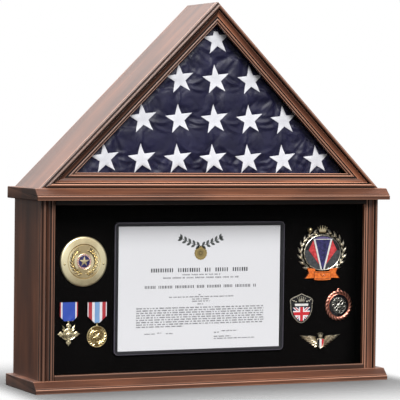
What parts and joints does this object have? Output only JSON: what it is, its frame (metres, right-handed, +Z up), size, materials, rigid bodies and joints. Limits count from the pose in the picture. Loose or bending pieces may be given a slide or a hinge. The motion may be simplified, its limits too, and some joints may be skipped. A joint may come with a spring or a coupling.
{
  "type": "folded flag display case",
  "caption": "Walnut triangular case for a folded flag on a glazed shadow box with a felt display board for a certificate, medals and badges; the back panels lift out.",
  "frame": {"origin": "middle of the base board's underside", "axes": "+Z up, +X to the right seen from the front, +Y to the back; the glass faces -Y"},
  "size_m": [0.64, 0.143, 0.634],
  "materials": {
    "walnut": "satin lacquer over a red-brown walnut stain, dark in the grooves",
    "dark_wood": "stained, matt",
    "panel_board": "brown faced fibreboard, matt",
    "glass": "clear float glass",
    "clear_plastic": "clear sheet",
    "black_felt": "short-napped felt",
    "navy_cloth": "plain-woven nylon, folded",
    "white_thread": "satin-stitch embroidery",
    "navy_plastic": "padded cover, dark navy, with a pale edge line",
    "paper": "smooth white certificate paper",
    "brass": "brushed antique gold",
    "antique_silver": "antiqued relief",
    "rose_gold": "antiqued rose gold",
    "steel": "zinc plated",
    "blue_ribbon": "ribbed silk ribbon with white and red edges",
    "red_ribbon": "ribbed silk ribbon with white and light blue stripes",
    "grey_enamel": "hard enamel",
    "navy_enamel": "hard enamel between white edges, with red wedges",
    "orange_enamel": "hard enamel",
    "red_enamel": "hard enamel in stripes"
  },
  "bodies": {
    "case": {"base_board": "walnut", "top_board": "walnut", "left_side_panel": "walnut", "right_side_panel": "walnut", "left_stile": "walnut", "right_stile": "walnut", "bottom_rail": "walnut", "top_rail": "walnut", "left_rafter": "walnut", "right_rafter": "walnut", "flag_case_floor": "walnut", "left_moulding": "walnut", "right_moulding": "walnut", "bottom_moulding": "walnut", "box_glass": "glass", "box_glass_stops": "dark_wood", "flag_glass": "glass", "flag_glass_stops": "dark_wood", "case_screws": "steel", "panel_magnets": "steel", "folded_flag": "navy_cloth", "flag_stars": "white_thread"},
    "display_unit": {"felt_sheet": "black_felt", "display_backer": "panel_board", "left_spacer": "panel_board", "right_spacer": "panel_board", "rear_panel": "panel_board", "rear_panel_knob": "brass", "rear_strike_discs": "steel", "certificate_holder": "navy_plastic", "certificate_sheet": "paper", "certificate_cover": "clear_plastic", "medallion": "brass", "medallion_emblem": "brass", "medallion_rivets": "brass", "left_medal_brooch": "brass", "right_medal_brooch": "brass", "left_medal_ribbon": "blue_ribbon", "right_medal_ribbon": "red_ribbon", "ribbon_bars": "brass", "badge_wreath": "antique_silver", "badge_oval": "grey_enamel", "badge_enamel": "navy_enamel", "badge_banner": "orange_enamel", "push_pin": "brass", "shield_pin": "antique_silver", "shield_enamel": "red_enamel", "rosette_pin": "rose_gold", "rosette_centre": "antique_silver", "wings_pin": "antique_silver", "wings_shield": "red_enamel", "badge_posts": "steel"},
    "left_pendant": {"left_medal_ring": "brass", "left_medal_cross": "brass"},
    "right_pendant": {"right_medal_ring": "brass", "right_medal_disc": "brass"},
    "flag_back": {"flag_panel": "panel_board", "flag_panel_knob": "brass", "flag_strike_discs": "steel"}
  },
  "joints": [
    {"name": "display_unit_pull", "type": "slide", "parent": "case", "child": "display_unit", "axis": [0, 1, 0], "range_m": [0, 0.095]},
    {"name": "flag_back_pull", "type": "slide", "parent": "case", "child": "flag_back", "axis": [0, 1, 0], "range_m": [0, 0.06]},
    {"name": "left_pendant_swing", "type": "hinge", "parent": "display_unit", "child": "left_pendant", "pos_m": [-0.2396, -0.0052, 0.1096], "axis": [-1, 0, 0], "range_deg": [0, 40]},
    {"name": "right_pendant_swing", "type": "hinge", "parent": "display_unit", "child": "right_pendant", "pos_m": [-0.19, -0.0052, 0.1053], "axis": [-1, 0, 0], "range_deg": [0, 40]}
  ]
}
